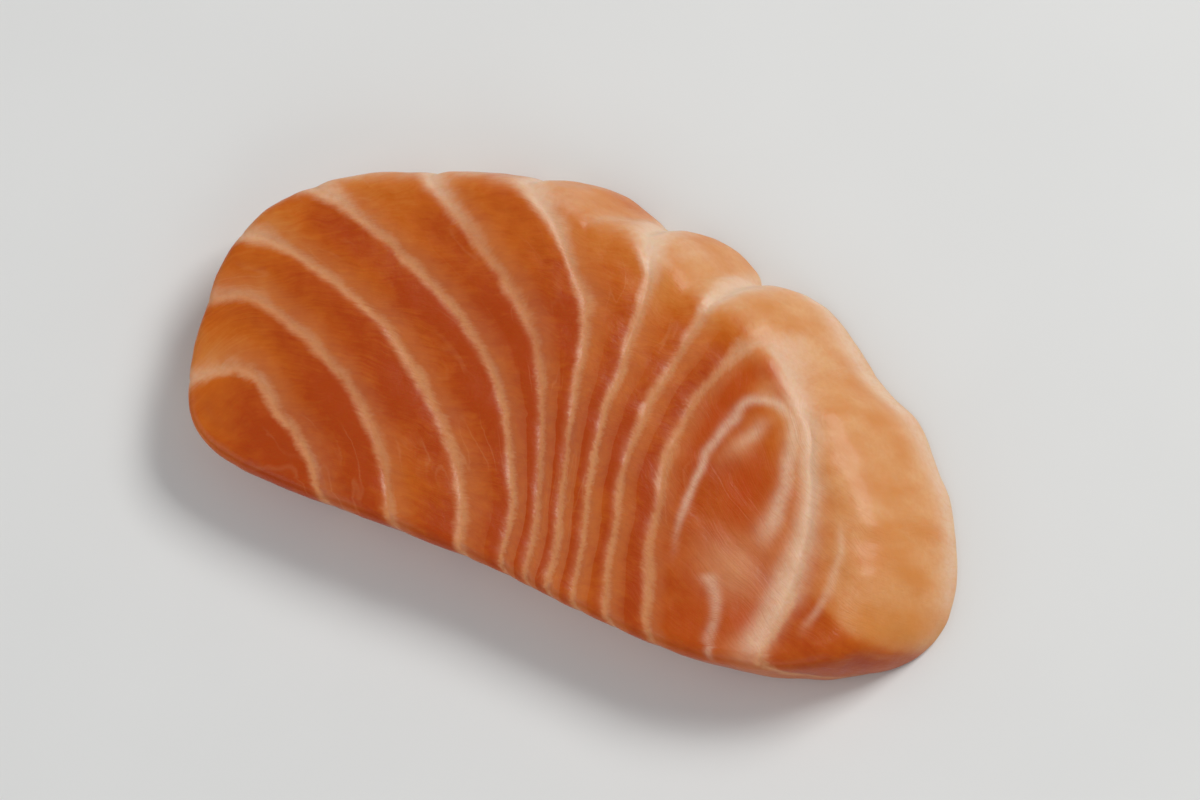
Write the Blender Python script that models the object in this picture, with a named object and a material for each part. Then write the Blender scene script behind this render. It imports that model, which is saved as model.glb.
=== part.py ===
"""One slice of raw salmon, cut on the slant, lying flat on its lower cut face.

The slice is a slab with two parallel cut faces. The knife went through the
fillet at about 45 degrees, so the slab is a leaning one: on the arched skin
side (+Y) and the thin end (+X) the rim runs outward as it goes down, and on the
straight bone side (-Y) and the blunt end (-X) it runs inward, under the upper
face. Where one flake ends on the skin side, the rim steps in.

Frame: metres, +Z up, +X along the slice to its thin end, origin at the centre
of the bottom of the bounding box.
"""
import math

import bmesh
import bpy

MM = 0.001

# ---- named sizes ------------------------------------------------------------
THICKNESS = 8.2 * MM            # cut face to cut face
SLANT_X = 6.4 * MM              # how far the lower face lies towards +X
SLANT_Y = 4.4 * MM              # how far the lower face lies towards +Y

REACH_BLUNT = 34.96 * MM        # upper face, from its middle to the blunt end
REACH_THIN = 32.7 * MM          # ... to the thin end
REACH_ARCH = 20.26 * MM         # ... up to the arched skin side
REACH_STRAIGHT = 17.87 * MM     # ... down to the straight bone side

# how square each quarter of the outline is (2 = an ellipse)
SQUARE_ARCH_THIN = 2.263
SQUARE_ARCH_BLUNT = 2.248
SQUARE_STRAIGHT_BLUNT = 6.7
SQUARE_STRAIGHT_THIN = 3.2

LEAN_2 = 0.0754                 # two-lobed lean of the outline
LEAN_2_PHASE = 1.079
LEAN_3 = -0.0412                # three-lobed lean of the outline
LEAN_3_PHASE = 4.579

RIM_TOP = 1.7 * MM              # rounding where the rim meets the upper face
RIM_BOTTOM = 0.7 * MM           # rounding where the rim meets the lower face
RIM_BULGE = 0.30 * MM           # how far the soft rim swells out

# steps of the skin side where one flake ends: place along the outline, and how
# far in (+) or out (-) of it the edge lies there, both in mm
STEPS = ((-29.0, 0.10), (-23.0, 0.35), (-17.5, 0.00), (-13.3, -0.35), (-10.4, -0.90), (-7.9, -0.75),
         (-5.6, 0.00), (-3.7, 0.65), (-1.4, 0.30), (1.2, -0.35), (3.8, -0.20), (6.0, 0.45),
         (7.7, 1.10), (9.5, 0.50), (11.6, -0.35), (13.6, -0.60), (15.8, -0.40), (18.6, 0.10),
         (21.0, 0.60), (23.4, 0.45), (25.6, -0.20), (28.0, -0.10), (30.2, 0.40), (32.0, 0.10))

DROOP = 1.9 * MM                # sag of the upper edge that overhangs
DROOP_FROM = 12.0 * MM          # where it starts, from the middle of the face
DROOP_TO = 37.0 * MM            # where it is full
SETTLE = 1.5 * MM               # how far the undercut foot has settled outward
WAVE = 0.22 * MM                # soft unevenness of the upper cut face

CELLS_X, CELLS_Y, CELLS_Z = 52, 24, 8

NAME = "salmon_slice"


# ---- the outline of the upper cut face --------------------------------------
def outline(phi):
    """Point of the outline at angle phi, about the middle of the face."""
    c, s = math.cos(phi), math.sin(phi)
    if s >= 0.0:
        square = SQUARE_ARCH_THIN if c >= 0.0 else SQUARE_ARCH_BLUNT
    else:
        square = SQUARE_STRAIGHT_THIN if c >= 0.0 else SQUARE_STRAIGHT_BLUNT
    r = (abs(c) ** square + abs(s) ** square) ** (-1.0 / square)
    r *= 1.0 + LEAN_2 * math.cos(2.0 * phi + LEAN_2_PHASE) \
             + LEAN_3 * math.cos(3.0 * phi + LEAN_3_PHASE)
    x = (REACH_THIN if c >= 0.0 else REACH_BLUNT) * r * c
    y = (REACH_ARCH if s >= 0.0 else REACH_STRAIGHT) * r * s
    return x, y


def outward(phi):
    """Unit normal of the outline, pointing out of the slice."""
    e = 0.06
    x0, y0 = outline(phi - e)
    x1, y1 = outline(phi + e)
    dx, dy = x1 - x0, y1 - y0
    d = math.hypot(dx, dy)
    return dy / d, -dx / d


def smooth(t):
    t = min(1.0, max(0.0, t))
    return t * t * (3.0 - 2.0 * t)


def step_in(phi, x):
    """How far in of the outline the edge of the skin side lies."""
    arch = smooth((math.sin(phi) - 0.15) / 0.35)
    at = x / MM
    depth = STEPS[0][1] if at <= STEPS[0][0] else STEPS[-1][1]
    for (x0, d0), (x1, d1) in zip(STEPS, STEPS[1:]):
        if x0 <= at <= x1:
            depth = d0 + (d1 - d0) * (at - x0) / (x1 - x0)
    return depth * MM * arch


# ---- heights ----------------------------------------------------------------
def undercut(nx, ny):
    """0 where the rim runs outward, 1 where it runs in under the upper face."""
    lean = math.hypot(SLANT_X, SLANT_Y)
    return smooth(-(nx * SLANT_X + ny * SLANT_Y) / lean)


def top_height(x, y):
    """Height of the upper cut face above the point x, y of the outline's plane."""
    z = THICKNESS
    over = -(x * SLANT_X + y * SLANT_Y) / math.hypot(SLANT_X, SLANT_Y)
    over = max(0.0, (over - DROOP_FROM) / (DROOP_TO - DROOP_FROM))
    z -= DROOP * over * over
    z += WAVE * (math.sin(x / (8.5 * MM) + 0.6) * math.cos(y / (7.0 * MM))
                 + 0.6 * math.sin(x / (4.6 * MM) + y / (6.0 * MM)))
    return z


def place(u, v, w):
    """Move a point of the lattice box (-1..1 each way) onto the slice."""
    px = u * math.sqrt(1.0 - 0.5 * v * v)
    py = v * math.sqrt(1.0 - 0.5 * u * u)
    rho = min(1.0, math.hypot(px, py))
    phi = math.atan2(py, px)
    ox, oy = outline(phi)
    nx, ny = outward(phi)
    under = undercut(nx, ny)
    high = top_height(ox * rho, oy * rho)
    arc = 0.25
    t = 0.5 * (w + 1.0)
    if t < arc:
        a = 0.5 * math.pi * t / arc
        inset = RIM_BOTTOM * (1.0 - math.sin(a))
        z = RIM_BOTTOM * (1.0 - math.cos(a))
    elif t > 1.0 - arc:
        a = 0.5 * math.pi * (1.0 - t) / arc
        inset = RIM_TOP * (1.0 - math.sin(a))
        z = high - RIM_TOP * (1.0 - math.cos(a))
    else:
        k = (t - arc) / (1.0 - 2.0 * arc)
        inset = -RIM_BULGE * math.sin(math.pi * k)
        z = RIM_BOTTOM + k * (high - RIM_TOP - RIM_BOTTOM)
    if t <= 0.0:
        z = 0.0

    inset += step_in(phi, ox)
    x = rho * (ox - nx * inset)
    y = rho * (oy - ny * inset)
    lower = 1.0 - z / THICKNESS
    foot = SETTLE * under * lower * rho * rho
    x += SLANT_X * lower + nx * foot
    y += SLANT_Y * lower + ny * foot
    return x, y, z


# ---- the solid --------------------------------------------------------------
def edges_along(bm, axis):
    found = []
    for edge in bm.edges:
        step = edge.verts[1].co - edge.verts[0].co
        if abs(step[axis]) > 1e-6 and all(abs(step[k]) < 1e-6 for k in range(3) if k != axis):
            found.append(edge)
    return found


def build_slice():
    bm = bmesh.new()
    bmesh.ops.create_cube(bm, size=2.0)
    for axis, cells in enumerate((CELLS_X, CELLS_Y, CELLS_Z)):
        bmesh.ops.subdivide_edges(bm, edges=edges_along(bm, axis), cuts=cells - 1,
                                  use_grid_fill=True)

    # the lower cut face lies flat, so its cells become one face
    floor_faces = [f for f in bm.faces if all(v.co.z < -0.9999 for v in f.verts)]
    bmesh.ops.dissolve_faces(bm, faces=floor_faces, use_verts=True)

    for vert in bm.verts:
        vert.co = place(vert.co.x, vert.co.y, vert.co.z)

    xs = [v.co.x for v in bm.verts]
    ys = [v.co.y for v in bm.verts]
    middle = ((min(xs) + max(xs)) * 0.5, (min(ys) + max(ys)) * 0.5)
    for vert in bm.verts:
        vert.co.x -= middle[0]
        vert.co.y -= middle[1]

    bmesh.ops.recalc_face_normals(bm, faces=bm.faces)
    mesh = bpy.data.meshes.new(NAME)
    bm.to_mesh(mesh)
    bm.free()
    mesh.shade_smooth()
    mesh.set_sharp_from_angle(angle=math.radians(40.0))
    return mesh


def flesh_material():
    mat = bpy.data.materials.new("salmon_flesh")
    mat.use_nodes = True
    bsdf = mat.node_tree.nodes["Principled BSDF"]
    bsdf.inputs["Base Color"].default_value = (0.72, 0.21, 0.06, 1.0)
    bsdf.inputs["Roughness"].default_value = 0.32
    bsdf.inputs["Metallic"].default_value = 0.0
    mat.diffuse_color = (0.72, 0.21, 0.06, 1.0)
    return mat


def main():
    for obj in list(bpy.data.objects):
        bpy.data.objects.remove(obj, do_unlink=True)

    part = bpy.data.collections.new("salmon_sashimi")
    bpy.context.scene.collection.children.link(part)

    salmon = bpy.data.objects.new(NAME, build_slice())
    salmon.data.materials.append(flesh_material())
    part.objects.link(salmon)


main()
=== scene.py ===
"""The looks of one slice of raw salmon, lying flat on a plain pale floor.

The slice is one dense mesh that stands for the CAD node. Its shape is the same
leaning slab; on it come the soft swelling of each flake, the fine grooves of
the fat lines, the notches of the skin side and the marks of the knife. The fat
lines are the whole-number levels of one smooth height field over the cut face,
carried down through the slab, so they agree on the two cut faces and the rim.
"""
import math

import bpy
import numpy as np
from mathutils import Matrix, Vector, noise


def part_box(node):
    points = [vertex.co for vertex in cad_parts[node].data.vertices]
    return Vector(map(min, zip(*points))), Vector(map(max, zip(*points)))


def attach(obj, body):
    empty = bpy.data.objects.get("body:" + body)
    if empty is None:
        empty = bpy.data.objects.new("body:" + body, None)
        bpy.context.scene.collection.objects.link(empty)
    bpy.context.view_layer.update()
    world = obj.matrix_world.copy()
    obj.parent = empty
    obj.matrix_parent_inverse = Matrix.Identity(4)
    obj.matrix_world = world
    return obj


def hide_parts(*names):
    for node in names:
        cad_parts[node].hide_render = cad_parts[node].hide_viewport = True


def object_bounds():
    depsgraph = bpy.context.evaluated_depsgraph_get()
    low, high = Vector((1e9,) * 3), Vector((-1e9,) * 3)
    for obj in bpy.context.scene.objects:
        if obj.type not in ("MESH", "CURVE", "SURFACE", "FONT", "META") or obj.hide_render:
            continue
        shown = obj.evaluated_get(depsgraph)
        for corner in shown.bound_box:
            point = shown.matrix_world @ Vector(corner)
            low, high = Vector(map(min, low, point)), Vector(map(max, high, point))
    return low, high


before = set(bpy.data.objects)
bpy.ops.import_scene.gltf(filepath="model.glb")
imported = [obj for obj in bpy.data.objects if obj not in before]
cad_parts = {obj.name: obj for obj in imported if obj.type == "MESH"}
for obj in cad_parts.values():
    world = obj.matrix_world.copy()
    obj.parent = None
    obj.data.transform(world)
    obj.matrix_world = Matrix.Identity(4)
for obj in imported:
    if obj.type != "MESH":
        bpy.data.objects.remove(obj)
CAD_LOW, CAD_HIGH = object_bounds()
NODE = "salmon_slice"
NODE_LOW, NODE_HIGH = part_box(NODE)

# ---------------------------------------------------------------------------
# named sizes, in millimetres (the same ones the solid is built from)
# ---------------------------------------------------------------------------
THICKNESS = 8.2
SLANT = np.array([6.4, 4.4])
REACH_BLUNT, REACH_THIN = 34.96, 32.7
REACH_ARCH, REACH_STRAIGHT = 20.26, 17.87
SQUARE_ARCH_THIN, SQUARE_ARCH_BLUNT = 2.263, 2.248
SQUARE_STRAIGHT_BLUNT, SQUARE_STRAIGHT_THIN = 6.7, 3.2
LEAN_2, LEAN_2_PHASE = 0.0754, 1.079
LEAN_3, LEAN_3_PHASE = -0.0412, 4.579
RIM_TOP, RIM_BOTTOM, RIM_BULGE = 1.7, 0.7, 0.30
DROOP, DROOP_FROM, DROOP_TO = 1.9, 12.0, 37.0
SETTLE, WAVE = 1.5, 0.22
# steps of the skin side where one flake ends: place along the outline, and how
# far in (+) or out (-) of it the edge lies there
STEPS = np.array([(-29.0, 0.10), (-23.0, 0.35), (-17.5, 0.00), (-13.3, -0.35), (-10.4, -0.90), (-7.9, -0.75),
                  (-5.6, 0.00), (-3.7, 0.65), (-1.4, 0.30), (1.2, -0.35), (3.8, -0.20), (6.0, 0.45),
                  (7.7, 1.10), (9.5, 0.50), (11.6, -0.35), (13.6, -0.60), (15.8, -0.40), (18.6, 0.10),
                  (21.0, 0.60), (23.4, 0.45), (25.6, -0.20), (28.0, -0.10), (30.2, 0.40), (32.0, 0.10)])

CELLS_X, CELLS_Y, CELLS_Z = 240, 120, 26


def smooth(t):
    t = np.clip(t, 0.0, 1.0)
    return t * t * (3.0 - 2.0 * t)


# ---------------------------------------------------------------------------
# the outline of the upper cut face, and the slab
# ---------------------------------------------------------------------------
def outline(phi):
    c, s = np.cos(phi), np.sin(phi)
    square = np.where(s >= 0.0,
                      np.where(c >= 0.0, SQUARE_ARCH_THIN, SQUARE_ARCH_BLUNT),
                      np.where(c >= 0.0, SQUARE_STRAIGHT_THIN, SQUARE_STRAIGHT_BLUNT))
    r = (np.abs(c) ** square + np.abs(s) ** square) ** (-1.0 / square)
    r = r * (1.0 + LEAN_2 * np.cos(2.0 * phi + LEAN_2_PHASE)
             + LEAN_3 * np.cos(3.0 * phi + LEAN_3_PHASE))
    return (np.where(c >= 0.0, REACH_THIN, REACH_BLUNT) * r * c,
            np.where(s >= 0.0, REACH_ARCH, REACH_STRAIGHT) * r * s)


def outward(phi, e=0.06):
    x0, y0 = outline(phi - e)
    x1, y1 = outline(phi + e)
    dx, dy = x1 - x0, y1 - y0
    d = np.hypot(dx, dy)
    return dy / d, -dx / d


def step_in(phi, x):
    return np.interp(x, STEPS[:, 0], STEPS[:, 1]) * smooth((np.sin(phi) - 0.15) / 0.35)


def top_height(x, y):
    z = np.full_like(x, THICKNESS)
    over = -(x * SLANT[0] + y * SLANT[1]) / np.hypot(*SLANT)
    over = np.maximum(0.0, (over - DROOP_FROM) / (DROOP_TO - DROOP_FROM))
    z = z - DROOP * over * over
    return z + WAVE * (np.sin(x / 8.5 + 0.6) * np.cos(y / 7.0)
                       + 0.6 * np.sin(x / 4.6 + y / 6.0))


# ---------------------------------------------------------------------------
# the fat lines: levels of a smooth field over the cut face
# ---------------------------------------------------------------------------
# each line from the blunt end or the skin side (first) down to the straight side;
# they are measured from a point beside the middle of the outline
LINES_FROM = np.array([1.15, -0.35])
LINES = {
    0: [(-38.0, -10.4), (-34.1, -8.2), (-30.8, -5.9), (-25.3, -8.9), (-20.2, -12.4), (-16.6, -18.5)],
    1: [(-38.6, -2.4), (-33.4, 0.4), (-28.0, -0.3), (-22.0, -2.9), (-17.3, -6.0), (-12.4, -12.0), (-10.2, -18.5)],
    2: [(-38.4, 5.4), (-32.0, 6.6), (-26.5, 5.4), (-19.6, 3.1), (-13.0, -1.8), (-8.4, -6.2), (-5.1, -11.4), (-3.6, -18.5)],
    3: [(-34.0, 13.4), (-27.3, 12.6), (-20.8, 10.2), (-14.8, 7.4), (-8.1, 2.7), (-3.7, -3.1), (-0.8, -9.4), (0.8, -18.5)],
    4: [(-23.6, 20.4), (-18.1, 16.6), (-12.9, 13.2), (-8.5, 9.9), (-4.6, 6.0), (-1.6, 0.3), (1.0, -7.4), (2.6, -18.5)],
    5: [(-13.6, 22.0), (-10.2, 19.6), (-5.6, 16.2), (-2.2, 12.6), (-0.5, 8.3), (1.2, 1.4), (3.2, -7.0), (5.0, -18.5)],
    6: [(-1.9, 23.4), (1.0, 19.8), (2.7, 15.9), (3.5, 9.9), (4.0, 2.5), (5.6, -6.0), (8.0, -18.5)],
    7: [(10.4, 23.0), (9.3, 18.0), (8.3, 13.4), (7.8, 8.0), (7.6, 2.2), (8.9, -6.6), (12.0, -18.5)],
    8: [(21.6, 9.6), (19.6, 12.4), (16.9, 14.3), (14.4, 14.2), (12.5, 11.4), (11.2, 6.4), (11.0, 0.4), (12.6, -7.8),
        (16.2, -18.5)],
}
RIGHT_LEG = [(23.4, 5.8), (25.0, 1.2), (26.0, -4.0), (26.2, -9.2), (26.0, -14.6), (25.6, -18.6)]
CORE = (18.2, 2.4)
RING_SIZES = [(3.2, 6.6, 8.0, 8.46)]                          # across, along, turn, level
FALLING = [(30.4, 8.6, 7.42), (33.0, 1.8, 7.38), (34.0, -6.0, 7.38), (32.6, -13.4, 7.42),
           (18.0, 20.6, 7.36), (25.0, 16.8, 7.42), (38.6, 5.0, 7.1), (40.0, -6.0, 7.1),
           (-35.0, -15.4, -0.8), (-28.0, -17.8, -0.7)]


def line_points():
    """x, y, level and the way along the line (0 at the straight side) of every control point."""
    rows = []
    for level, points in LINES.items():
        p = np.array(points)[::-1]
        run = np.r_[0.0, np.cumsum(np.hypot(*np.diff(p, axis=0).T))]
        rows += [(x, y, float(level), r) for (x, y), r in zip(p, run)]
    rows += [(x, y, 8.0, None) for x, y in RIGHT_LEG]
    for across, along, turn, level in RING_SIZES:
        t = math.radians(turn)
        for k in range(10):
            a = 2.0 * math.pi * k / 10
            x, y = across * math.cos(a), along * math.sin(a)
            rows.append((CORE[0] + x * math.cos(t) - y * math.sin(t),
                         CORE[1] + x * math.sin(t) + y * math.cos(t), level, None))
    rows += [(x, y, level, None) for x, y, level in FALLING]
    return rows


class Spline:
    """Thin plate spline through scattered points, with its slope."""

    def __init__(self, xy, values, slack):
        self.xy = np.asarray(xy, float)
        n = len(self.xy)
        r2 = ((self.xy[:, None] - self.xy[None]) ** 2).sum(-1)
        k = 0.5 * r2 * np.log(r2 + 1e-12)
        k[np.diag_indices(n)] = slack
        a = np.zeros((n + 3, n + 3))
        a[:n, :n] = k
        a[:n, n] = 1.0
        a[:n, n + 1:] = self.xy
        a[n, :n] = 1.0
        a[n + 1:, :n] = self.xy.T
        self.w = np.linalg.solve(a, np.r_[values, 0.0, 0.0, 0.0])

    def __call__(self, x, y, slope=False):
        q = np.c_[np.ravel(x), np.ravel(y)]
        n = len(self.xy)
        out, gx, gy = np.empty(len(q)), np.empty(len(q)), np.empty(len(q))
        for i in range(0, len(q), 8000):
            part = q[i:i + 8000]
            d = part[:, None] - self.xy[None]
            r2 = (d ** 2).sum(-1) + 1e-9
            log = np.log(r2)
            out[i:i + 8000] = (0.5 * r2 * log) @ self.w[:n] + self.w[n] + part @ self.w[n + 1:]
            c = (log + 1.0) * self.w[:n]
            gx[i:i + 8000] = (d[:, :, 0] * c).sum(1) + self.w[n + 1]
            gy[i:i + 8000] = (d[:, :, 1] * c).sum(1) + self.w[n + 2]
        return (out, gx, gy) if slope else out


ROWS = line_points()
LEVEL = Spline([r[:2] for r in ROWS], np.array([r[2] for r in ROWS]), 0.4)
ALONG_ROWS = [r for r in ROWS if r[3] is not None]
ALONG = Spline([r[:2] for r in ALONG_ROWS], np.array([r[3] for r in ALONG_ROWS]), 4.0)


def gauss(t):
    return np.exp(-t * t)


# ---------------------------------------------------------------------------
# the dense lattice on the surface of a box, moved onto the slice
# ---------------------------------------------------------------------------
def box_lattice(nx, ny, nz):
    grid = -np.ones((nx + 1, ny + 1, nz + 1), dtype=np.int64)
    i, j, k = np.meshgrid(np.arange(nx + 1), np.arange(ny + 1), np.arange(nz + 1), indexing="ij")
    shell = (i == 0) | (i == nx) | (j == 0) | (j == ny) | (k == 0) | (k == nz)
    grid[shell] = np.arange(shell.sum())
    points = np.c_[i[shell] / nx, j[shell] / ny, k[shell] / nz] * 2.0 - 1.0

    def side(g, flip):
        q = np.stack([g[:-1, :-1], g[1:, :-1], g[1:, 1:], g[:-1, 1:]], axis=-1).reshape(-1, 4)
        return q[:, ::-1] if flip else q

    sides = [side(grid[:, :, nz], False), side(grid[:, :, 0], True),
             side(grid[:, 0, :], False), side(grid[:, ny, :], True),
             side(grid[0, :, :], True), side(grid[nx, :, :], False)]
    chart = np.concatenate([np.full(len(s), n) for n, s in enumerate(sides)])
    return points, np.concatenate(sides), chart


def vertex_normals(co, quads):
    a, b, c, d = (co[quads[:, n]] for n in range(4))
    face = np.cross(c - a, d - b)
    out = np.zeros_like(co)
    for n in range(4):
        np.add.at(out, quads[:, n], face)
    return out / np.maximum(np.linalg.norm(out, axis=1, keepdims=True), 1e-12)


def relax(co, quads, held, rounds):
    """Even the surface out: each point moves towards the middle of its neighbours."""
    a = np.concatenate([quads[:, [0, 1]], quads[:, [1, 2]], quads[:, [2, 3]], quads[:, [3, 0]]])
    count = np.bincount(a.ravel(), minlength=len(co))[:, None]
    for _ in range(rounds):
        total = np.zeros_like(co)
        for axis in range(3):
            total[:, axis] = (np.bincount(a[:, 0], co[a[:, 1], axis], len(co))
                              + np.bincount(a[:, 1], co[a[:, 0], axis], len(co)))
        move = 0.5 * (total / count - co)
        move[held, 2] = 0.0
        co = co + move
    return co


def noise_at(points, scale, seed, octaves=1):
    """Smooth noise, about -1..1, at points in mm, with features of the given size in mm."""
    shift = Vector((seed * 17.13, seed * 5.71, seed * 9.37))
    out = np.empty(len(points))
    for n, p in enumerate(points):
        v = Vector((float(p[0]), float(p[1]), float(p[2]))) / scale + shift
        out[n] = noise.noise(v) if octaves == 1 else noise.fractal(v, 1.0, 2.0, octaves)
    return out


points, quads, chart = box_lattice(CELLS_X, CELLS_Y, CELLS_Z)
u, v, w = points.T

px = u * np.sqrt(1.0 - 0.5 * v * v)
py = v * np.sqrt(1.0 - 0.5 * u * u)
rho = np.minimum(1.0, np.hypot(px, py))
phi = np.arctan2(py, px)
ox, oy = outline(phi)
nx_, ny_ = outward(phi)
lean = np.hypot(*SLANT)
under = smooth(-(nx_ * SLANT[0] + ny_ * SLANT[1]) / lean)
high = top_height(ox * rho, oy * rho)

t = 0.5 * (w + 1.0)
ARC = 0.30
low_arc, top_arc = t < ARC, t > 1.0 - ARC
a_low = 0.5 * np.pi * np.clip(t / ARC, 0.0, 1.0)
a_top = 0.5 * np.pi * np.clip((1.0 - t) / ARC, 0.0, 1.0)
k_mid = np.clip((t - ARC) / (1.0 - 2.0 * ARC), 0.0, 1.0)
arch_side = smooth((ny_ * 0.82 + nx_ * 0.57 + 0.15) / 0.55)
shoulder = RIM_TOP + 1.5 * arch_side * smooth((ox + 8.0) / 22.0)
inset = np.where(low_arc, RIM_BOTTOM * (1.0 - np.sin(a_low)),
                 np.where(top_arc, shoulder * (1.0 - np.sin(a_top)),
                          -RIM_BULGE * np.sin(np.pi * k_mid)))
z = np.where(low_arc, RIM_BOTTOM * (1.0 - np.cos(a_low)),
             np.where(top_arc, high - shoulder * (1.0 - np.cos(a_top)),
                      RIM_BOTTOM + k_mid * (high - shoulder - RIM_BOTTOM)))
z = np.where(t <= 0.0, 0.0, z)

# place of each point on the upper face's plane, before the slab leans
flat_x = rho * (ox - nx_ * np.maximum(inset, 0.0))
flat_y = rho * (oy - ny_ * np.maximum(inset, 0.0))
lower = 1.0 - z / THICKNESS
on_rim = rho > 0.9999

# the level field, shifted a little with depth because the flakes lean too
line_x, line_y = flat_x - LINES_FROM[0], flat_y - LINES_FROM[1]
level, slope_x, slope_y = LEVEL(line_x, line_y, slope=True)
fan_out = arch_side * smooth((line_x - 8.0) / 6.0) * smooth((rho - 0.75) / 0.25)
level = level + 0.38 * lower * (1.0 - fan_out)
level = np.where(level > 8.45, 8.45 + 0.35 * (level - 8.45), level)      # no line inside the innermost fold
slope = np.clip(np.hypot(slope_x, slope_y), 0.045, 0.60)
along = ALONG(line_x, line_y)

# distance from the skin side, and how far the rim has gone down
skin_in = np.hypot(ox - flat_x, oy - flat_y)
facing = np.clip(np.abs(nx_ * np.cos(phi) + ny_ * np.sin(phi)), 0.35, 1.0)
skin_in = np.where(skin_in < shoulder, skin_in, shoulder + (skin_in - shoulder) * facing)
skin = np.where(on_rim & (t < 0.5), 0.0, skin_in) + 14.0 * (1.0 - arch_side)
wall = np.clip((high - z) / np.maximum(high, 1e-6), 0.0, 1.0)

# nearness to the skin side and to the blunt end, where the fat lines spread
blunt_side = smooth((-0.90 * nx_ + 0.45 * ny_ - 0.05) / 0.5)
blunt_side = blunt_side * (1.0 - 0.65 * smooth((wall - 0.12) / 0.35) * smooth((rho - 0.9) / 0.1))
near = np.exp(-0.24 * np.where(on_rim & (t < 0.5), 0.0, skin_in)) * np.maximum(arch_side, 0.85 * blunt_side)

nearest = np.abs(level - np.round(level)) / slope          # mm to the nearest fat line
frac = level - np.floor(level)

# ---- notches of the skin side, where a fat line meets it -------------------
notch_depth = np.interp(np.round(level), [2, 3, 4, 5, 6, 7, 8], [0.15, 0.25, 0.30, 0.50, 0.62, 0.62, 0.25])
notch = notch_depth * gauss(nearest / 0.62) * arch_side * smooth((rho - 0.93) / 0.07)
inset = inset + step_in(phi, ox) + notch

x = rho * (ox - nx_ * inset)
y = rho * (oy - ny_ * inset)
foot = SETTLE * under * lower * rho * rho
x = x + SLANT[0] * lower + nx_ * foot
y = y + SLANT[1] * lower + ny_ * foot
bottom = (t <= 0.0)
co = relax(np.c_[x, y, z], quads, bottom, 6)

# ---- relief ------------------------------------------------------------------
normal = vertex_normals(co, quads)
swell = np.sin(np.pi * frac)                                # each flake is a soft cushion
swell = np.where(swell > 0.0, swell, 0.0) ** 0.55
face_up = smooth((normal[:, 2] - 0.2) / 0.6)
skin_fade = smooth((rho - 0.985) / 0.015)
relief = 0.20 * (swell - 0.75)
relief -= 0.085 * gauss(nearest / 0.32)
stroke = co[:, 0] * 0.34 + co[:, 1] * 0.94 + 0.0022 * (co[:, 0] - 10.0) ** 2
relief += 0.035 * np.sin(stroke * 2.0 * np.pi / 4.3 + 0.6 * np.sin(co[:, 0] / 13.0))
relief += 0.055 * noise_at(co, 5.0, 1, 3)
relief += 0.030 * noise_at(co, 1.3, 2, 2)
rim_rough = 0.09 * noise_at(co, 3.6, 3, 2) * smooth((rho - 0.90) / 0.10)
relief = relief * (0.55 + 0.45 * face_up) + rim_rough
co = co + normal * np.where(bottom, 0.0, relief)[:, None]
# the lower cut face lies on the floor: the flakes touch it, the fat lines stand off it
lift = np.where(bottom, 0.10 * gauss(nearest / 0.55) * smooth((0.98 - rho) / 0.1), 0.0)
co[:, 2] = np.maximum(co[:, 2], 0.0) + lift

# stand where the node stands
low, high_c = co.min(0), co.max(0)
node_mid = (np.array(NODE_LOW) + np.array(NODE_HIGH)) * 500.0
co[:, 0] += node_mid[0] - 0.5 * (low[0] + high_c[0])
co[:, 1] += node_mid[1] - 0.5 * (low[1] + high_c[1])
co[:, 2] -= co[:, 2].min()
size_mm = (np.array(NODE_HIGH) - np.array(NODE_LOW)) * 1000.0
fit = np.minimum(1.0, (size_mm - 0.02) / (co.max(0) - co.min(0)))
co = (co - [node_mid[0], node_mid[1], 0.0]) * fit + [node_mid[0], node_mid[1], 0.0]

# ---- painted tissue, and a painted glint in the white patches: what doesn't follow the level lines ---
flat = np.c_[flat_x, flat_y, 0.5 * z]
warp_x = line_x + 0.42 * noise_at(flat, 4.2, 11, 2)
warp_y = line_y + 0.42 * noise_at(flat, 4.2, 12, 2)


def rounded(points_list, steps=6):
    """The same bent line with soft corners: x, y and width through every given point."""
    q = np.array([tuple(p) if len(p) > 2 else tuple(p) + (1.0,) for p in points_list])
    q = np.vstack([2.0 * q[0] - q[1], q, 2.0 * q[-1] - q[-2]])
    s = np.arange(steps)[:, None] / steps
    out = [0.5 * (2.0 * b + (c - a) * s + (2.0 * a - 5.0 * b + 4.0 * c - d) * s ** 2
                  + (3.0 * b - a - 3.0 * c + d) * s ** 3)
           for a, b, c, d in zip(q[:-3], q[1:-2], q[2:-1], q[3:])]
    return np.vstack(out + [q[-2:-1]])


def bent_line(points_list, width, ends=(0.12, 0.12)):
    """Closeness (0..1) to a bent line over the cut face, with its own width at each point."""
    p = rounded(points_list)
    p, widths = p[:, :2], np.maximum(p[:, 2], 0.2) * width
    best, where = np.full(len(warp_x), 1e9), np.zeros(len(warp_x))
    for n in range(len(p) - 1):
        start, step = p[n], p[n + 1] - p[n]
        s = np.clip(((warp_x - start[0]) * step[0] + (warp_y - start[1]) * step[1]) / (step @ step), 0.0, 1.0)
        d = np.hypot(warp_x - start[0] - s * step[0], warp_y - start[1] - s * step[1])
        near = d < best
        best, where = np.where(near, d, best), np.where(near, n + s, where)
    here = np.interp(where, np.arange(len(p)), widths)
    run = where / (len(p) - 1)
    taper = smooth(run / max(ends[0], 1e-6)) * smooth((1.0 - run) / max(ends[1], 1e-6))
    return gauss(best / here) * taper


def patch(cx, cy, rx, ry, turn=0.0):
    """A soft oval spot over the cut face."""
    c, s = math.cos(math.radians(turn)), math.sin(math.radians(turn))
    dx, dy = warp_x - cx, warp_y - cy
    return gauss(np.hypot((dx * c + dy * s) / rx, (-dx * s + dy * c) / ry))


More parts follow.
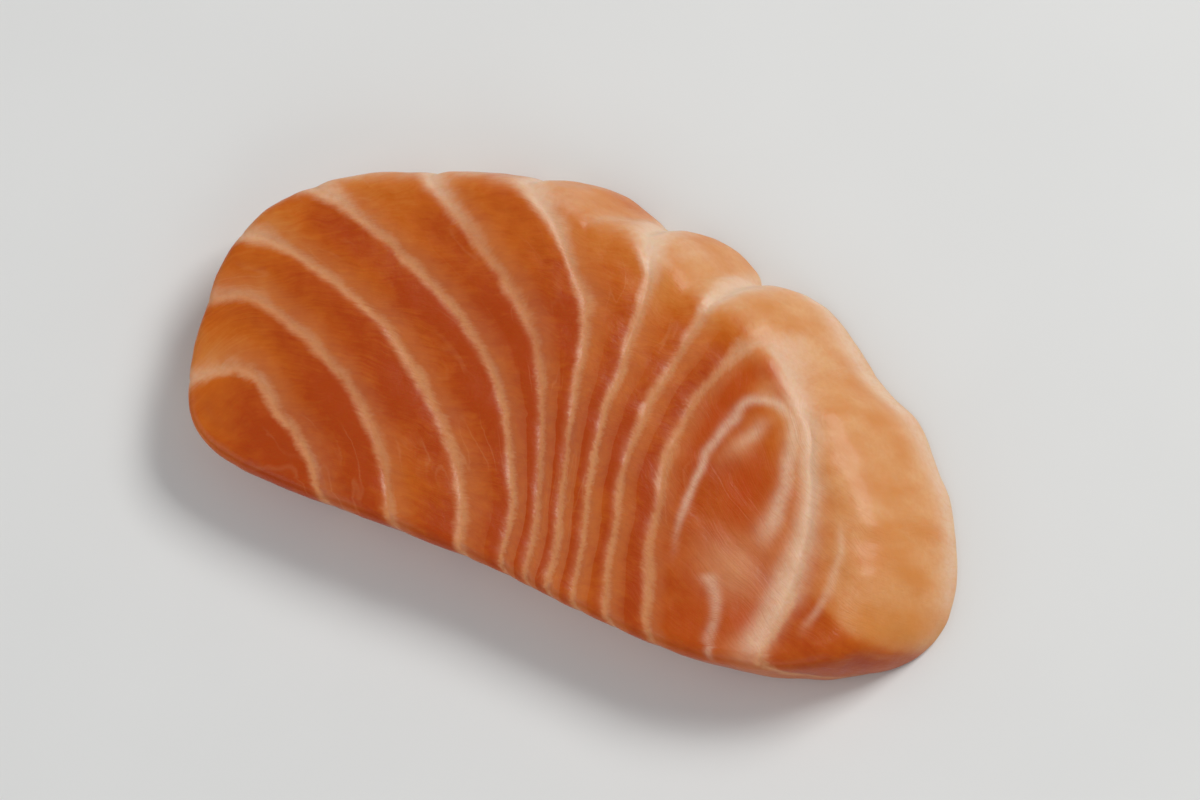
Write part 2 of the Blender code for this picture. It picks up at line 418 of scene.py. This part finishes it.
# where the skin side ends, unevenly
skin_paint = 0.41 * (ny_ + np.sin(phi)) + 0.285 * (nx_ + np.cos(phi))
skin_paint = smooth((skin_paint + 0.32 + 0.34 * noise_at(flat, 6.0, 21, 2)) / 1.15)

# how far along toward the thin end the skin side is: its light layer grows that way
toward_thin = smooth((line_x + 10.0) / 26.0)
right = smooth((line_x + 2.0) / 24.0)

fat = np.zeros(len(co))
# the long fat line low on the skin side, from the middle of the arch to the thin end
strip = wall - (0.84 + 0.035 * np.sin(line_x / 4.0))
fat = np.maximum(fat, skin_paint * smooth((line_x - 1.0) / 12.0) * gauss(strip / (0.110 + 0.070 * right))
                 * on_rim * (0.95 + 0.22 * noise_at(flat, 3.0, 14, 2)))
# a thin pale edge on the rest of the skin side
fat = np.maximum(fat, arch_side * (1.0 - smooth((line_x - 2.0) / 9.0)) * gauss((skin_in - 0.3) / 0.75)
                 * (1.0 - smooth((wall - 0.30) / 0.30)) * np.clip(0.30 + 0.34 * noise_at(flat, 2.6, 33, 3), 0.0, 1.0))
# white patches where the middle fat lines meet the skin side: partly fat, partly a painted glint of wet light, whitest
# at the sixth and seventh lines
ragged = 0.5 * noise_at(flat, 1.1, 31, 3)
for at, wide, strength in ((3.0, 0.75, 0.35), (4.0, 0.95, 0.62), (5.0, 1.05, 0.80), (6.0, 1.25, 1.0), (7.0, 1.35, 1.0)):
    across = np.abs(level - at) / slope + ragged
    reach = 4.2 + 1.6 * noise_at(flat, 2.0, 32 + int(at), 2)
    fat = np.maximum(fat, strength * gauss(across / (wide * (1.25 - 0.75 * smooth(skin / 4.5)))) * arch_side
                     * (1.0 - smooth((skin - 1.2) / reach)) * (1.0 - 0.55 * smooth((wall - 0.55) / 0.3))
                     * (1.0 - smooth((line_x - 10.5) / 4.0)))

# the broad leg of the last line, along the skin side to the thin end
over_rim = 1.0 - 0.75 * smooth((wall - 0.30) / 0.35)
leg = over_rim * bent_line([(15.4, 14.8, 0.3), (17.2, 14.0, 0.5), (19.2, 12.0, 0.7), (21.4, 9.2, 0.9), (23.4, 5.6, 1.0),
                 (24.9, 1.2, 1.0), (25.8, -3.6, 1.1), (25.9, -8.2, 1.3), (25.4, -12.6, 1.1), (24.8, -16.6, 0.9)],
                1.10, (0.06, 0.10))
fat = np.maximum(fat, 0.74 * leg)
# the inner fold: a fine near side, a broad far side, open towards the thin end
fold_near = bent_line([(15.6, -10.0, 0.8), (14.4, -4.6, 0.8), (14.3, 1.4, 0.9), (14.8, 5.6, 1.0), (15.8, 8.2, 1.1),
                       (17.2, 9.6, 1.2), (18.8, 9.8, 1.3)], 0.46, (0.25, 0.02))
fold_far = bent_line([(17.2, 9.6, 0.7), (18.8, 9.7, 0.9), (20.4, 8.5, 1.0), (21.5, 6.0, 1.1), (22.1, 2.4, 1.2),
                      (22.3, -1.6, 1.5), (21.6, -5.6, 2.0)], 0.66, (0.05, 0.20))
fat = np.maximum(fat, np.maximum(0.70 * fold_near, 0.72 * fold_far))
# a small pale crescent at the near side of the heart
fat = np.maximum(fat, 0.46 * patch(17.4, 5.6, 0.75, 1.7, -28.0))
# streaks between the orange patches of the thin end
fat = np.maximum(fat, 0.62 * bent_line([(18.2, -8.2, 1.2), (20.2, -10.8, 1.0), (21.2, -13.8, 0.8), (21.4, -17.2, 0.7)],
                                       0.55, (0.10, 0.15)))
fat = np.maximum(fat, 0.42 * bent_line([(28.2, 1.6, 0.7), (29.4, -3.0, 1.0), (29.6, -7.6, 1.0), (29.0, -12.0, 0.8)],
                                       0.50, (0.25, 0.25)))
fat = fat * (0.90 + 0.10 * noise_at(flat, 1.6, 15, 2))

# pinkish tissue round the far side of the fold
pale = np.maximum(0.95 * patch(20.6, -7.2, 3.4, 2.5, -25.0), 0.55 * patch(22.6, -3.4, 1.7, 3.2))
pale = np.maximum(pale, 0.75 * patch(16.9, 4.4, 1.2, 2.6, -20.0))
pale = np.maximum(pale, 0.55 * leg)
pale = np.maximum(pale, 0.45 * patch(24.2, -15.0, 1.6, 2.2))
pale = np.clip(pale, 0.0, 1.0)

# the deepest orange: inside the arch of the last line, in the heart, at the tip
rich = np.maximum(0.75 * bent_line([(12.8, -4.0), (13.2, 3.0), (14.2, 8.6), (16.2, 12.0), (19.0, 11.0), (21.2, 7.4)],
                                   1.3, (0.3, 0.2)),
                  np.maximum(0.95 * patch(18.6, 0.4, 1.9, 4.2, 6.0), 0.80 * patch(23.4, -11.6, 1.5, 3.6, 8.0)))
rich = np.maximum(rich, 0.55 * patch(18.6, -13.6, 1.8, 2.4))
rich = np.clip(rich * (1.0 - pale * 0.6), 0.0, 1.0)

# light layer under the skin: thin at the blunt end, wide at the thin one
layer = 0.4 + 2.2 * smooth((line_x + 2.0) / 16.0) + 4.0 * smooth((line_x - 13.0) / 9.0)
layer = layer * (1.0 + 0.16 * noise_at(flat, 3.5, 16, 2))
band = skin_paint * (1.0 - smooth((skin - 0.50 * layer) / (0.60 * layer + 1.4))) * (0.20 + 0.80 * toward_thin)
# cream flecks and faint cross bands in that layer
fleck = noise_at(flat * [1.0, 1.0, 2.0], 2.6, 22, 3)
cross = 0.5 + 0.5 * np.cos(2.0 * np.pi * (phi * 3.7 + 0.75 * noise_at(flat, 5.0, 23, 2)))
cream = band * np.clip(0.32 + 0.62 * fleck + 0.16 * (cross ** 2) * on_rim, 0.0, 1.0)

# flesh lightens towards the skin side, more so towards the thin end
light = np.exp(-0.15 * skin) * (0.66 + 0.30 * toward_thin)
light = np.maximum(light, 0.52 * (1.0 - smooth((line_x + 39.0) / 21.0)))

# ---------------------------------------------------------------------------
# the mesh
# ---------------------------------------------------------------------------
mesh = bpy.data.meshes.new("salmon_flesh_surface")
mesh.vertices.add(len(co))
mesh.vertices.foreach_set("co", (co * 0.001).astype(np.float32).ravel())
mesh.loops.add(quads.size)
mesh.loops.foreach_set("vertex_index", quads.ravel().astype(np.int32))
mesh.polygons.add(len(quads))
mesh.polygons.foreach_set("loop_start", np.arange(0, quads.size, 4, dtype=np.int32))
mesh.update(calc_edges=True)
mesh.validate()
mesh.shade_smooth()


def store(name, values):
    layer_ = mesh.attributes.new(name, "FLOAT", "POINT")
    layer_.data.foreach_set("value", np.asarray(values, np.float32))


store("level", level)
store("slope", slope)
store("along", along)
store("band", band)
store("fat", fat)
store("pale", pale)
store("rich", rich)
store("cream", cream)
store("light", light)
store("near", near)
store("wall", np.where(on_rim, wall, 0.0))

# a map: each side of the slab laid out flat, at one scale
uv = mesh.uv_layers.new(name="OFBake")
SHEET = 127.0
spots = {0: (1.0, 1.0), 1: (1.0, 43.5), 2: (1.0, 86.0), 3: (1.0, 99.5), 4: (1.0, 113.0), 5: (42.0, 113.0)}
corner = np.repeat(chart, 4)
ids = quads.ravel()
map_x, map_y = np.zeros(len(ids)), np.zeros(len(ids))
for n, (sx, sy) in spots.items():
    pick = corner == n
    if n < 2:
        cx = flat_x[ids[pick]] - flat_x.min() if n == 0 else flat_x.max() - flat_x[ids[pick]]
        cy = flat_y[ids[pick]] - flat_y.min()
    elif n < 4:
        cx = (u[ids[pick]] + 1.0) * 0.5 * 76.0
        cy = t[ids[pick]] * 11.4
        cx = cx if n == 2 else 76.0 - cx
    else:
        cx = (v[ids[pick]] + 1.0) * 0.5 * 38.0
        cy = t[ids[pick]] * 11.4
        cx = cx if n == 5 else 38.0 - cx
    map_x[pick], map_y[pick] = (sx + cx) / SHEET, (sy + cy) / SHEET
uv.data.foreach_set("uv", np.c_[map_x, map_y].astype(np.float32).ravel())

salmon = bpy.data.objects.new("salmon_flesh", mesh)
bpy.context.scene.collection.objects.link(salmon)


# ---------------------------------------------------------------------------
# the flesh material
# ---------------------------------------------------------------------------
class Nodes:
    """Small helper that wires shader nodes."""

    def __init__(self, tree):
        self.tree = tree

    def add(self, kind, **settings):
        node = self.tree.nodes.new(kind)
        for key, value in settings.items():
            setattr(node, key, value)
        return node

    def link(self, source, target):
        self.tree.links.new(source, target)

    def feed(self, socket, value):
        if isinstance(value, bpy.types.NodeSocket):
            self.link(value, socket)
        else:
            socket.default_value = value

    def attribute(self, name):
        return self.add("ShaderNodeAttribute", attribute_name=name, attribute_type="GEOMETRY").outputs["Fac"]

    def math(self, op, a, b=None, c=None, clamp=False):
        node = self.add("ShaderNodeMath", operation=op, use_clamp=clamp)
        self.feed(node.inputs[0], a)
        if b is not None:
            self.feed(node.inputs[1], b)
        if c is not None:
            self.feed(node.inputs[2], c)
        return node.outputs[0]

    def span(self, value, a, b, low=0.0, high_=1.0, kind="SMOOTHSTEP"):
        node = self.add("ShaderNodeMapRange", interpolation_type=kind, clamp=True)
        self.feed(node.inputs["Value"], value)
        self.feed(node.inputs["From Min"], a)
        self.feed(node.inputs["From Max"], b)
        self.feed(node.inputs["To Min"], low)
        self.feed(node.inputs["To Max"], high_)
        return node.outputs["Result"]

    def noise(self, vector, scale, detail=2.0, rough=0.5, distortion=0.0):
        node = self.add("ShaderNodeTexNoise", noise_dimensions="3D")
        self.link(vector, node.inputs["Vector"])
        node.inputs["Scale"].default_value = scale
        node.inputs["Detail"].default_value = detail
        node.inputs["Roughness"].default_value = rough
        node.inputs["Distortion"].default_value = distortion
        return node.outputs["Fac"]

    def voronoi(self, vector, scale, feature="F1"):
        node = self.add("ShaderNodeTexVoronoi", voronoi_dimensions="3D", feature=feature)
        self.link(vector, node.inputs["Vector"])
        node.inputs["Scale"].default_value = scale
        return node.outputs["Distance"]

    def mix(self, factor, a, b, mode="MIX"):
        node = self.add("ShaderNodeMix", data_type="RGBA", blend_type=mode, clamp_factor=True)
        self.feed(node.inputs["Factor"], factor)
        self.feed(node.inputs[6], a)
        self.feed(node.inputs[7], b)
        return node.outputs[2]

    def vector(self, x_, y_, z_):
        node = self.add("ShaderNodeCombineXYZ")
        for socket, value in zip(node.inputs, (x_, y_, z_)):
            self.feed(socket, value)
        return node.outputs[0]


FLESH_DEEP = (0.430, 0.054, 0.0015, 1.0)
FLESH_MID = (0.560, 0.120, 0.006, 1.0)
FLESH_LIGHT = (0.680, 0.245, 0.042, 1.0)
FLESH_RICH = (0.500, 0.066, 0.002, 1.0)
LAYER_PEACH = (0.665, 0.262, 0.076, 1.0)
LAYER_CREAM = (0.760, 0.410, 0.190, 1.0)
FAT_LINE = (0.690, 0.310, 0.130, 1.0)
# the white of fat, also the colour of the painted glint in the patches at the skin side
FAT_AND_GLINT_WHITE = (0.800, 0.560, 0.395, 1.0)
PALE_TISSUE = (0.665, 0.275, 0.120, 1.0)


def flesh_material():
    mat = bpy.data.materials.new("salmon_flesh")
    mat.use_nodes = True
    tree = mat.node_tree
    bsdf = tree.nodes["Principled BSDF"]
    n = Nodes(tree)

    place = n.add("ShaderNodeTexCoord").outputs["Object"]
    to_mm = n.add("ShaderNodeVectorMath", operation="SCALE")
    n.link(place, to_mm.inputs[0])
    to_mm.inputs["Scale"].default_value = 1000.0
    mm = to_mm.outputs[0]

    level_ = n.attribute("level")
    slope_ = n.attribute("slope")
    along_ = n.attribute("along")
    band_ = n.attribute("band")
    fat_and_glint = n.attribute("fat")
    pale_ = n.attribute("pale")
    rich_ = n.attribute("rich")
    cream_ = n.attribute("cream")
    light_ = n.attribute("light")
    wall_ = n.attribute("wall")

    # muscle fibres run from one fat line to the next
    bend = n.math("MULTIPLY", n.math("SUBTRACT", n.noise(mm, 0.16, 2.0), 0.5), 5.0)
    bent = n.math("ADD", along_, bend)
    fibre_at = n.vector(n.math("MULTIPLY", level_, 2.2), n.math("MULTIPLY", bent, 1.5),
                        n.math("MULTIPLY", wall_, 6.0))
    fibre = n.noise(fibre_at, 1.0, 3.0, 0.6)
    fine_at = n.vector(n.math("MULTIPLY", level_, 4.5), n.math("MULTIPLY", bent, 2.9),
                       n.math("MULTIPLY", wall_, 9.0))
    fibre_fine = n.noise(fine_at, 1.0, 2.0, 0.6)
    calm = n.span(slope_, 0.06, 0.16, 0.40, 1.0)                   # where the lines lie far apart, few fibres show
    cloud = n.noise(mm, 0.11, 2.0)
    mottle = n.noise(mm, 0.65, 3.0, 0.6)
    grain = n.noise(mm, 1.9, 2.0, 0.6)

    # fat lines wander a little, and fray where fibres meet them
    drift = n.math("SUBTRACT", n.noise(mm, 0.24, 2.0), 0.5)
    shiver = n.math("SUBTRACT", n.noise(mm, 1.1, 3.0, 0.6), 0.5)
    wandering = n.math("MULTIPLY_ADD", drift, 0.20, level_)
    wandering = n.math("MULTIPLY_ADD", shiver, 0.075, wandering)
    shifted = n.math("ADD", wandering, 0.5)
    offset = n.math("SUBTRACT", n.math("FRACT", shifted), 0.5)     # -0.5..0.5 levels
    signed = n.math("DIVIDE", offset, slope_)                      # mm from the line
    fray = n.math("MULTIPLY", n.math("SUBTRACT", fibre_fine, 0.5), 0.75)
    far = n.math("ADD", n.math("ABSOLUTE", signed), fray)

    # one line is stronger than the next, and each fades and swells along its way
    near_skin = n.attribute("near")
    which = n.math("FLOOR", shifted)
    white = n.add("ShaderNodeTexWhiteNoise", noise_dimensions="1D")
    n.link(which, white.inputs["W"])
    own = n.span(white.outputs["Value"], 0.0, 1.0, 0.62, 0.84, "LINEAR")
    own = n.math("MULTIPLY_ADD", near_skin, 0.22, own)
    swell_ = n.noise(n.vector(n.math("MULTIPLY", along_, 0.16), which, 3.7), 1.0, 2.0, 0.6)

    half = n.math("MULTIPLY_ADD", n.span(swell_, 0.3, 0.7, 0.0, 1.0), 0.28, 0.38)
    half = n.math("MULTIPLY_ADD", near_skin, 0.66, half)
    half = n.math("MULTIPLY", half, n.span(slope_, 0.15, 0.38, 1.0, 0.62))     # finer where they crowd
    ratio = n.math("DIVIDE", far, half)
    inner = n.span(ratio, 0.05, 1.65, 1.0, 0.0)
    strength = n.math("MULTIPLY", own, n.span(swell_, 0.2, 0.65, 0.62, 1.0))
    broken = n.span(grain, 0.30, 0.62, 0.78, 1.0)
    line = n.math("MULTIPLY", n.math("MULTIPLY", inner, strength), broken)

    # fat under the wet surface shows as a soft halo, wider on the far side
    halo_a = n.span(signed, 0.0, 2.9, 1.0, 0.0)
    halo_b = n.span(signed, -1.1, 0.0, 0.0, 1.0)
    halo = n.math("MULTIPLY", n.math("MULTIPLY", halo_a, halo_b), n.math("MULTIPLY_ADD", near_skin, 0.24, 0.26))

    # faint threads of fat inside the flakes, along the lines
    thread_at = n.vector(n.math("MULTIPLY", wandering, 3.1), n.math("MULTIPLY", bent, 0.11), 8.2)
    thread = n.math("ABSOLUTE", n.math("SUBTRACT", n.noise(thread_at, 1.0, 1.0, 0.5), 0.5))
    thread = n.span(thread, 0.0, 0.035, 1.0, 0.0)
    thread = n.math("MULTIPLY", thread, n.span(n.noise(mm, 0.17, 1.0), 0.48, 0.68, 0.0, 0.15))

    # depth of colour: light by the skin, deep in the heart of the slice
    lightness = n.math("MULTIPLY_ADD", n.math("SUBTRACT", cloud, 0.5), 0.85, light_)
    lightness = n.math("MULTIPLY_ADD", n.math("SUBTRACT", mottle, 0.5), 0.42, lightness)
    lightness = n.math("MULTIPLY_ADD", n.math("SUBTRACT", fibre, 0.5), n.math("MULTIPLY", calm, 0.42), lightness)
    lightness = n.math("MULTIPLY_ADD", n.math("SUBTRACT", fibre_fine, 0.5), n.math("MULTIPLY", calm, 0.20), lightness)
    turn = n.math("SINE", n.math("MULTIPLY", wandering, 6.28319))
    lightness = n.math("MULTIPLY_ADD", turn, 0.09, lightness)
    lightness = n.math("ADD", lightness, 0.03)
    deep_to_mid = n.span(lightness, 0.0, 0.42, 0.0, 1.0, "LINEAR")
    mid_to_light = n.span(lightness, 0.42, 1.0, 0.0, 1.0, "LINEAR")
    flesh = n.mix(deep_to_mid, FLESH_DEEP, FLESH_MID)
    flesh = n.mix(mid_to_light, flesh, FLESH_LIGHT)

    layer_mix = n.math("MULTIPLY", band_, n.span(mottle, 0.25, 0.7, 0.72, 1.0))
    flesh = n.mix(layer_mix, flesh, LAYER_PEACH)
    flesh = n.mix(n.math("MULTIPLY", cream_, n.span(grain, 0.3, 0.7, 0.7, 1.0)), flesh, LAYER_CREAM)
    flesh = n.mix(n.math("MULTIPLY", rich_, n.span(mottle, 0.2, 0.6, 0.65, 1.0)), flesh, FLESH_RICH)
    flesh = n.mix(n.math("MULTIPLY", pale_, n.span(fibre, 0.3, 0.7, 0.80, 1.0)), flesh, PALE_TISSUE)
    flesh = n.mix(halo, flesh, FAT_LINE)
    flesh = n.mix(thread, flesh, FAT_LINE)
    whiter = n.math("MULTIPLY", near_skin, 0.66, clamp=True)
    fat_colour = n.mix(whiter, FAT_LINE, FAT_AND_GLINT_WHITE)
    colour = n.mix(line, flesh, fat_colour)
    # white fat from the stored spots and streaks; in the patches at the skin side this white is partly a painted glint
    painted = n.math("MULTIPLY", fat_and_glint, n.span(grain, 0.25, 0.65, 0.80, 1.0))
    painted = n.math("MULTIPLY", painted, n.span(fibre_fine, 0.25, 0.6, 0.80, 1.0))
    colour = n.mix(painted, colour, FAT_AND_GLINT_WHITE)
    n.link(colour, bsdf.inputs["Base Color"])

    # wet surface
    rough = n.span(mottle, 0.25, 0.75, 0.30, 0.45, "LINEAR")
    rough = n.math("MULTIPLY_ADD", line, 0.06, rough)
    rough = n.math("MULTIPLY_ADD", band_, 0.07, rough)
    n.link(rough, bsdf.inputs["Roughness"])
    bsdf.inputs["Metallic"].default_value = 0.0
    bsdf.inputs["IOR"].default_value = 1.38
    bsdf.inputs["Specular IOR Level"].default_value = 0.30
    bsdf.inputs["Coat Weight"].default_value = 0.17
    bsdf.inputs["Coat Roughness"].default_value = 0.17
    bsdf.inputs["Coat IOR"].default_value = 1.36
    bsdf.inputs["Subsurface Weight"].default_value = 0.35
    bsdf.inputs["Subsurface Radius"].default_value = (1.0, 0.30, 0.10)
    bsdf.inputs["Subsurface Scale"].default_value = 0.0022

    # fine relief that the mesh doesn't hold
    height = n.math("MULTIPLY", fibre_fine, 0.30)
    height = n.math("MULTIPLY_ADD", grain, 0.30, height)
    height = n.math("MULTIPLY_ADD", mottle, 0.90, height)
    height = n.math("MULTIPLY_ADD", fibre, 0.45, height)
    bump = n.add("ShaderNodeBump")
    bump.inputs["Strength"].default_value = 0.50
    bump.inputs["Distance"].default_value = 0.00014
    n.link(height, bump.inputs["Height"])
    n.link(bump.outputs["Normal"], bsdf.inputs["Normal"])
    mat.diffuse_color = (0.66, 0.18, 0.04, 1.0)
    return mat


salmon.data.materials.append(flesh_material())
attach(salmon, "root")
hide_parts(NODE)

# ---------------------------------------------------------------------------
# floor, light and camera
# ---------------------------------------------------------------------------
def plain_material(name, colour, rough):
    mat = bpy.data.materials.new(name)
    mat.use_nodes = True
    tree = mat.node_tree
    bsdf = tree.nodes["Principled BSDF"]
    n = Nodes(tree)
    speck = n.noise(n.add("ShaderNodeTexCoord").outputs["Object"], 40.0, 3.0)
    shade = n.mix(n.span(speck, 0.3, 0.7, 0.0, 1.0), tuple(c * 0.985 for c in colour[:3]) + (1.0,), colour)
    n.link(shade, bsdf.inputs["Base Color"])
    bsdf.inputs["Roughness"].default_value = rough
    bsdf.inputs["Specular IOR Level"].default_value = 0.25
    return mat


bpy.ops.mesh.primitive_circle_add(vertices=96, radius=14.0, fill_type="NGON", location=(0.0, 0.0, -0.00002))
floor = bpy.context.object
floor.name = "floor"
floor.data.materials.append(plain_material("floor_pale", (0.78, 0.785, 0.78, 1.0), 0.55))


def area_light(name, place_, target, size, power, colour=(1.0, 1.0, 1.0)):
    data = bpy.data.lights.new(name, "AREA")
    data.shape = "RECTANGLE"
    data.size, data.size_y = size
    data.energy = power
    data.color = colour
    lamp = bpy.data.objects.new(name, data)
    bpy.context.scene.collection.objects.link(lamp)
    lamp.location = place_
    lamp.rotation_euler = (Vector(target) - Vector(place_)).to_track_quat("-Z", "Y").to_euler()
    return lamp


VIEW_TURN = math.radians(22.0)         # the slice points down to the right in the picture
VIEW_UP = math.radians(72.0)
right_ = Vector((math.cos(VIEW_TURN), math.sin(VIEW_TURN), 0.0))
away_ = Vector((-math.sin(VIEW_TURN), math.cos(VIEW_TURN), 0.0))
up_ = Vector((0.0, 0.0, 1.0))


def studio(r, a, h):
    """A place given by the picture: to the right, away from the camera, and up."""
    return right_ * r + away_ * a + up_ * h


area_light("key", studio(0.48, 0.40, 0.62), (0, 0, 0), (0.40, 0.32), 5.1, (1.0, 0.985, 0.96))
area_light("fill", studio(-0.60, -0.15, 0.50), (0, 0, 0), (0.70, 0.60), 1.7, (0.97, 0.985, 1.0))
area_light("front", studio(0.10, -0.70, 0.45), (0, 0, 0), (0.60, 0.40), 0.9, (1.0, 1.0, 1.0))

world = bpy.data.worlds.new("studio_air")
bpy.context.scene.world = world
world.use_nodes = True
world.node_tree.nodes["Background"].inputs["Color"].default_value = (0.90, 0.91, 0.92, 1.0)
world.node_tree.nodes["Background"].inputs["Strength"].default_value = 0.27

# plain tone curve, so that the orange keeps its true strength
bpy.context.scene.view_settings.view_transform = "Standard"
bpy.context.scene.view_settings.look = "None"

cam_data = bpy.data.cameras.new("camera")
cam_data.sensor_width = 36.0
cam_data.lens = 196.0
cam_data.clip_start, cam_data.clip_end = 0.01, 60.0
camera = bpy.data.objects.new("camera", cam_data)
bpy.context.scene.collection.objects.link(camera)
aim = Vector(((CAD_LOW[0] + CAD_HIGH[0]) / 2, (CAD_LOW[1] + CAD_HIGH[1]) / 2, 0.004)) + away_ * 0.000
back = -away_ * math.cos(VIEW_UP) + up_ * math.sin(VIEW_UP)
camera.location = aim + back * 0.62
camera.rotation_mode = "QUATERNION"
camera.rotation_quaternion = (-back).to_track_quat("-Z", "Y")
bpy.context.scene.camera = camera
